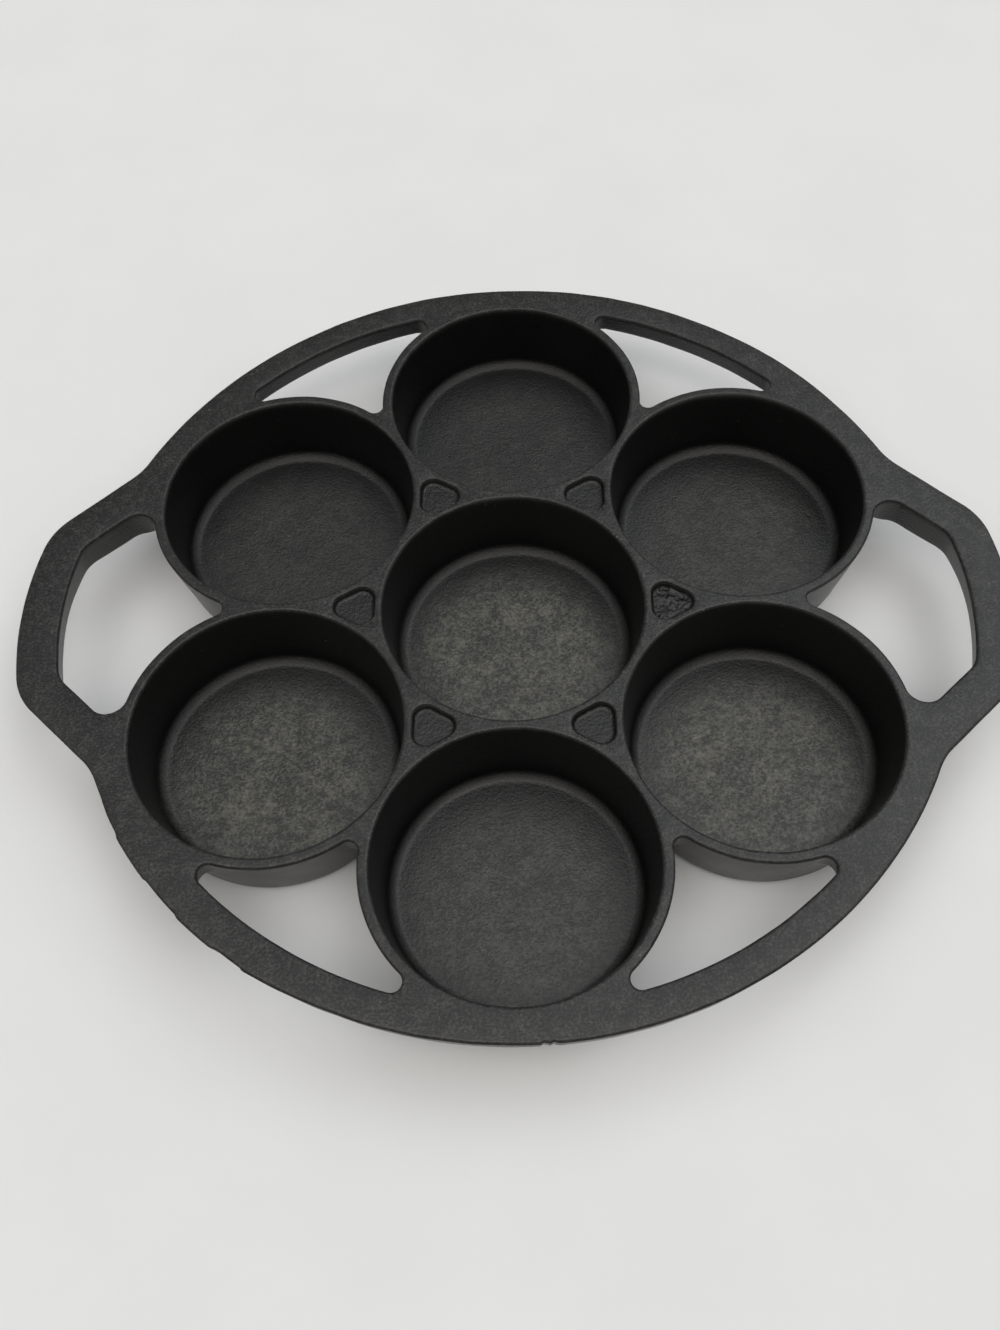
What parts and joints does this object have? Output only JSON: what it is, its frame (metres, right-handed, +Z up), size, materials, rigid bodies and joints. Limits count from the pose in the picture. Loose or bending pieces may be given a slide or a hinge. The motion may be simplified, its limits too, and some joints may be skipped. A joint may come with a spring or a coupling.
{
  "type": "biscuit pan",
  "caption": "Cast iron baking pan: tapered round cups set about a central cup in an openwork plate with a ring rim and a loop handle at each end, for biscuits, rolls and small cakes.",
  "frame": {"origin": "on the plane that the pan stands on, under the axis of the centre cup", "axes": "+X along the line of the two handles, +Y away from the viewer of the picture, +Z up out of the cups"},
  "size_m": [0.313, 0.275, 0.0297],
  "materials": {
    "iron": "oil-seasoned satin black over a fine sand-cast grain"
  },
  "bodies": {
    "root": {"centre_cup": "iron", "back_right_cup": "iron", "back_cup": "iron", "back_left_cup": "iron", "front_left_cup": "iron", "front_cup": "iron", "front_right_cup": "iron", "right_web": "iron", "back_right_web": "iron", "back_left_web": "iron", "left_web": "iron", "front_left_web": "iron", "front_right_web": "iron", "back_right_rim": "iron", "back_left_rim": "iron", "front_left_rim": "iron", "front_right_rim": "iron", "right_handle": "iron", "left_handle": "iron"}
  },
  "joints": []
}
